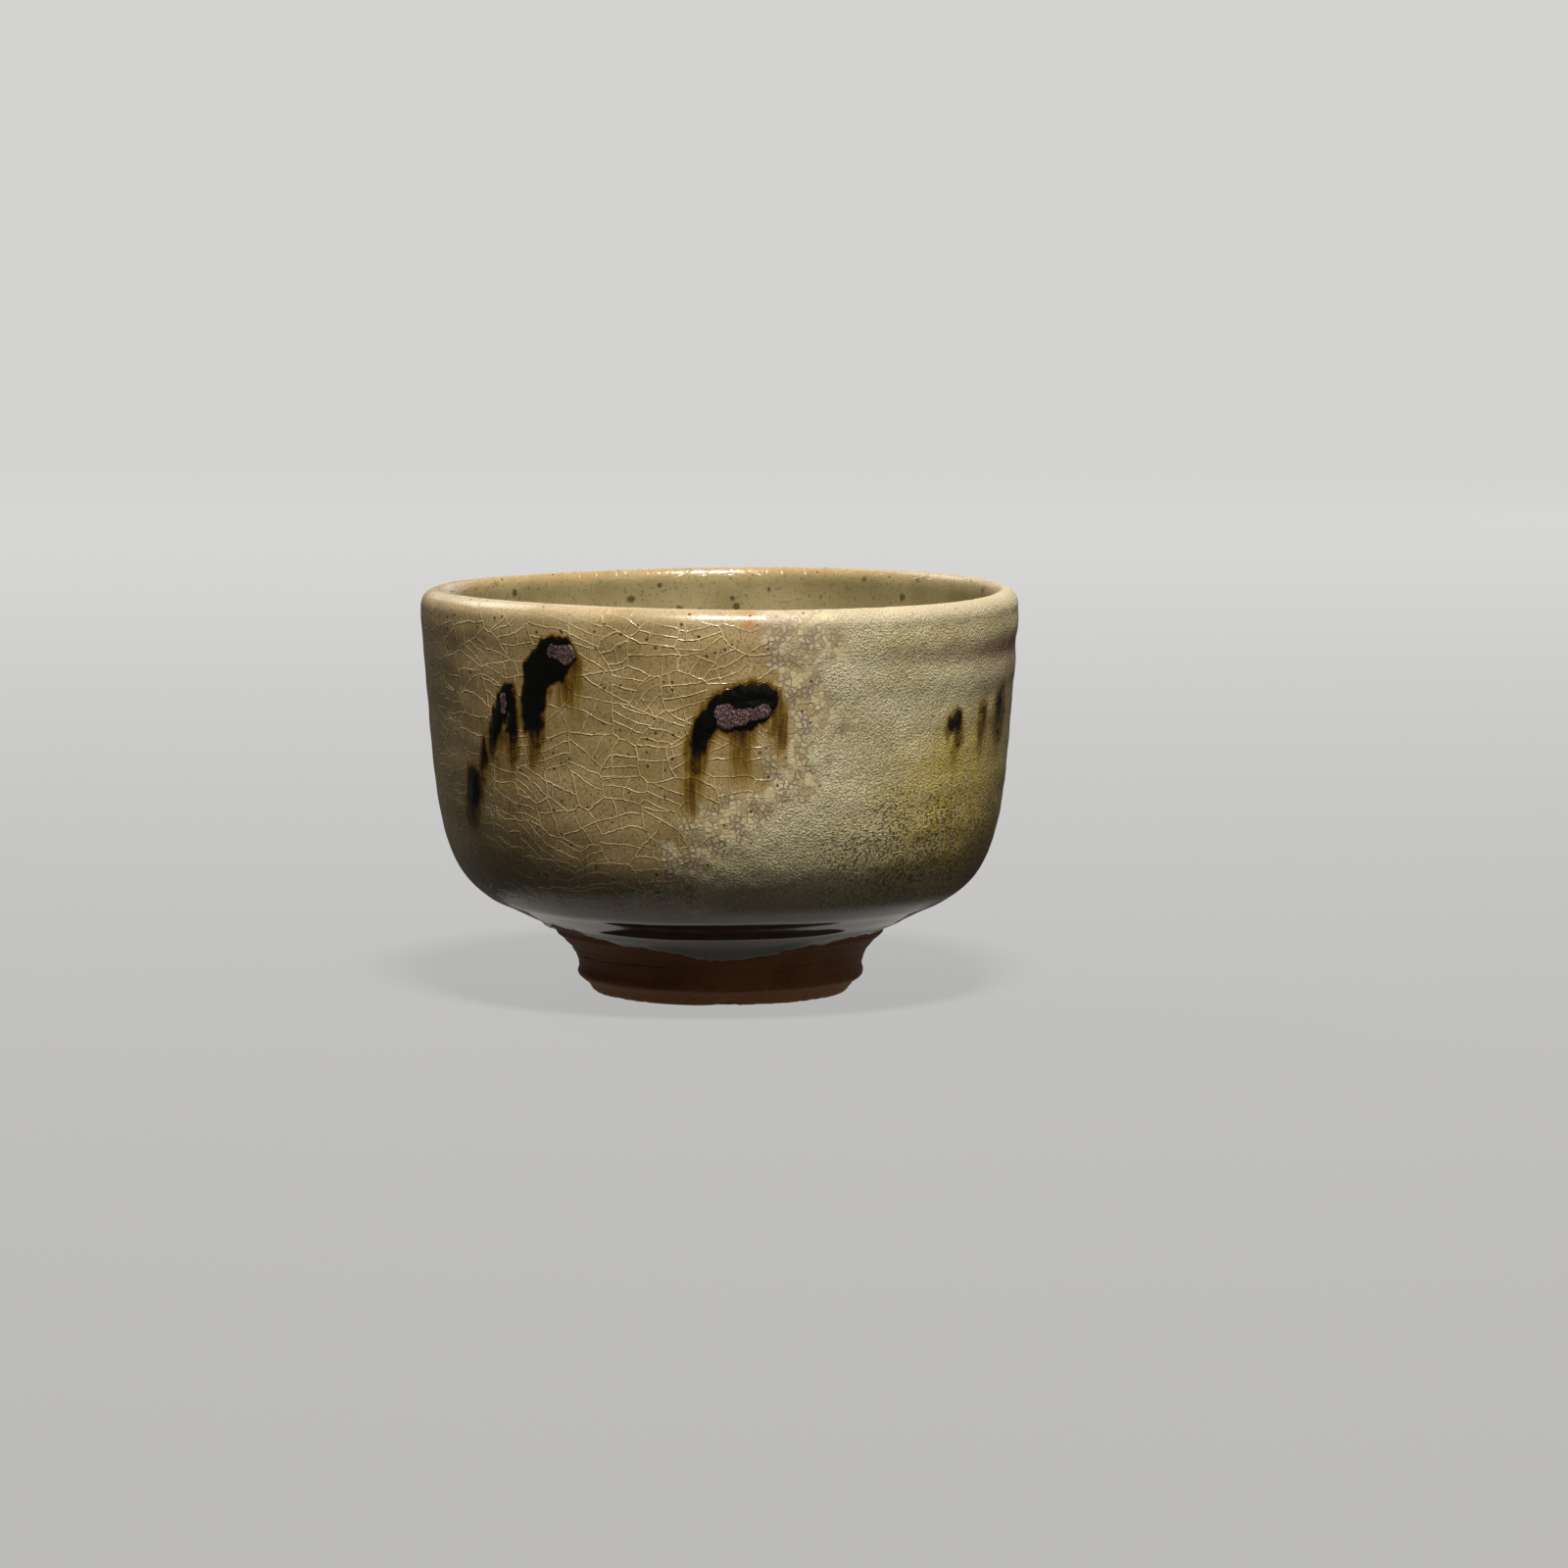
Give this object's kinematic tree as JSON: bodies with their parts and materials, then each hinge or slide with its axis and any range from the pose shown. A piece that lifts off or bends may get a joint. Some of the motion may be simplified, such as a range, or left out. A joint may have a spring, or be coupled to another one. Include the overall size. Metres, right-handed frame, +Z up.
{
  "type": "matcha bowl",
  "caption": "Deep round stoneware tea bowl with a rolled lip, rounded hip and trimmed ring foot, in crackled ash glaze with daubs of iron glaze.",
  "frame": {"origin": "centre of the foot ring's base, on the plane that the bowl stands on", "axes": "+Z up along the bowl's axis of turning, through the centre of the rim; -Y towards the front, where the arched iron daub is; +X towards the matt green side"},
  "size_m": [0.1204, 0.1204, 0.0814],
  "materials": {
    "bare_clay": "unglazed stoneware, dark red-brown, faintly lustrous",
    "foot_clay": "unglazed stoneware, trimmed and dry",
    "ash_glaze": "glossy crackled ash glaze turning matt sage green on one side",
    "inner_glaze": "glossy olive ash glaze with iron specks",
    "lip_glaze": "thin pale ash glaze",
    "iron_glaze": "thick glossy black iron glaze",
    "mauve_crystal": "finely crystalline mauve overglaze"
  },
  "bodies": {
    "root": {"clay_bowl": "bare_clay", "foot_ring": "foot_clay", "outer_glaze": "ash_glaze", "inner_glaze": "inner_glaze", "lip_glaze": "lip_glaze", "iron_left_1": "iron_glaze", "iron_left_2": "iron_glaze", "iron_left_3": "iron_glaze", "iron_left_4": "iron_glaze", "iron_front": "iron_glaze", "iron_right_1": "iron_glaze", "iron_right_2": "iron_glaze", "iron_right_3": "iron_glaze", "iron_back_right": "iron_glaze", "iron_back_upper": "iron_glaze", "iron_back_lower": "iron_glaze", "iron_back_left": "iron_glaze", "mauve_left_1": "mauve_crystal", "mauve_left_2": "mauve_crystal", "mauve_front": "mauve_crystal", "mauve_back_right": "mauve_crystal", "mauve_back_upper": "mauve_crystal", "mauve_back_left": "mauve_crystal"}
  },
  "joints": []
}
